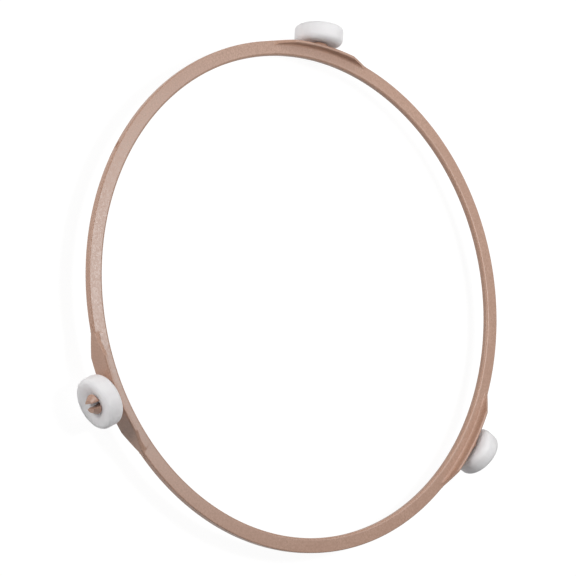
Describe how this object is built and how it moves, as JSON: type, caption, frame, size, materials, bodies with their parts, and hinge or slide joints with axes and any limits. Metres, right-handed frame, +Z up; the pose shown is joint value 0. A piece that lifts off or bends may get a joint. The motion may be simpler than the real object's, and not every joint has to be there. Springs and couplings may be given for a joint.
{
  "type": "microwave roller ring",
  "caption": "Thin moulded plastic ring with push-fit rollers on radial split pins, which carries a microwave oven's glass tray as it turns.",
  "frame": {"origin": "on the ring's axis, in the plane that the rollers stand on", "axes": "+Z up along the ring's axis; -Y points through the axle of roller_1"},
  "size_m": [0.1792, 0.188, 0.0174],
  "materials": {
    "ring_plastic": "satin tan-brown moulding",
    "roller_plastic": "satin white moulding"
  },
  "bodies": {
    "ring": {"ring": "ring_plastic"},
    "roller_1": {"roller_1": "roller_plastic"},
    "roller_2": {"roller_2": "roller_plastic"},
    "roller_3": {"roller_3": "roller_plastic"}
  },
  "joints": [
    {"name": "roller_1_spin", "type": "hinge", "parent": "ring", "child": "roller_1", "pos_m": [0, -0.094, 0.0087], "axis": [0, -1, 0], "continuous": true},
    {"name": "roller_2_spin", "type": "hinge", "parent": "ring", "child": "roller_2", "pos_m": [0.08141, 0.047, 0.0087], "axis": [0.866, 0.5, 0], "continuous": true},
    {"name": "roller_3_spin", "type": "hinge", "parent": "ring", "child": "roller_3", "pos_m": [-0.08141, 0.047, 0.0087], "axis": [-0.866, 0.5, 0], "continuous": true}
  ]
}
